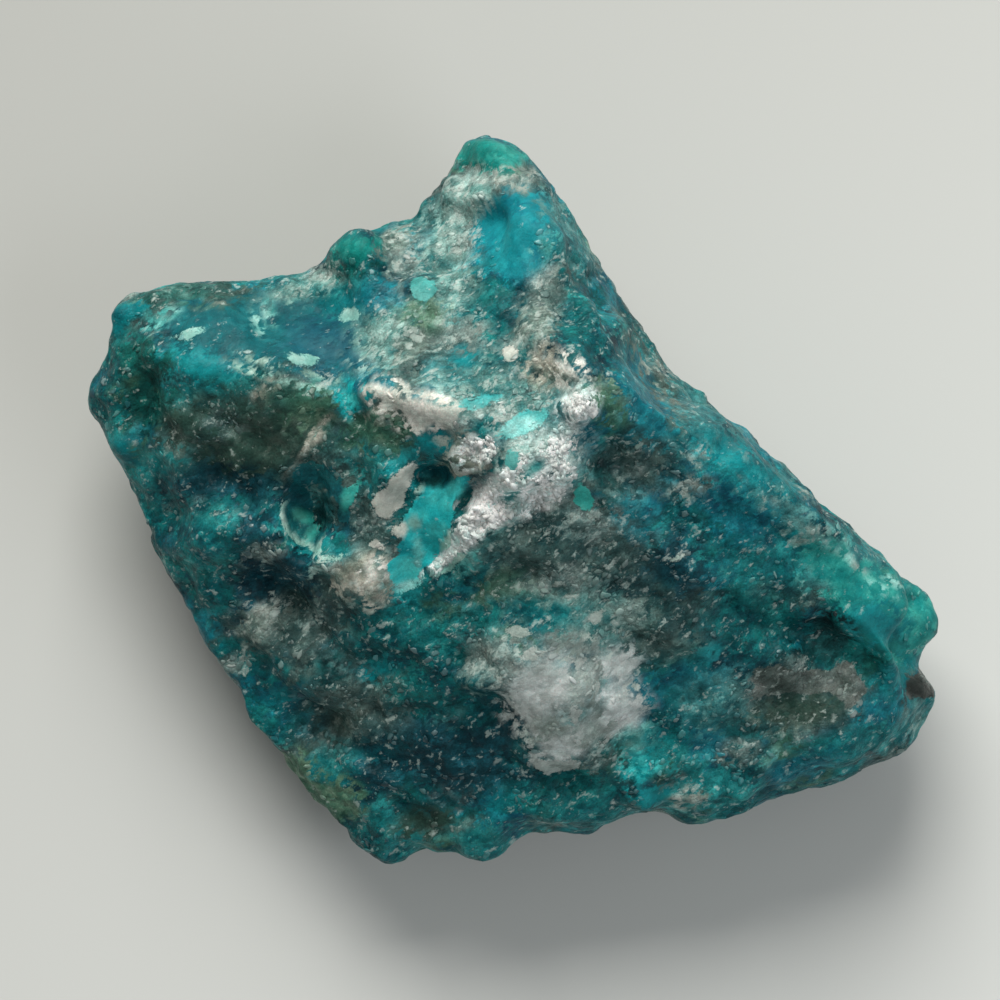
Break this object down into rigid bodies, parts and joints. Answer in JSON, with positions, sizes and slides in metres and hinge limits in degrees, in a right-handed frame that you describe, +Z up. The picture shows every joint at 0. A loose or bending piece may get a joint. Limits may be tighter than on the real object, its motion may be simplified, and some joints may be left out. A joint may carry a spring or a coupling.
{
  "type": "turquoise specimen",
  "caption": "Rough broken piece of blue-green turquoise and grey quartz, a low lopsided pyramid with a flat underside to rest on.",
  "frame": {"origin": "on the floor, under the middle of the stone's bounding box", "axes": "+X towards the stone's right end, +Y towards its pointed tip, +Z up out of the show face"},
  "size_m": [0.0299, 0.0257, 0.014],
  "materials": {
    "turquoise_in_quartz": "satin"
  },
  "bodies": {
    "root": {"stone": "turquoise_in_quartz"}
  },
  "joints": []
}
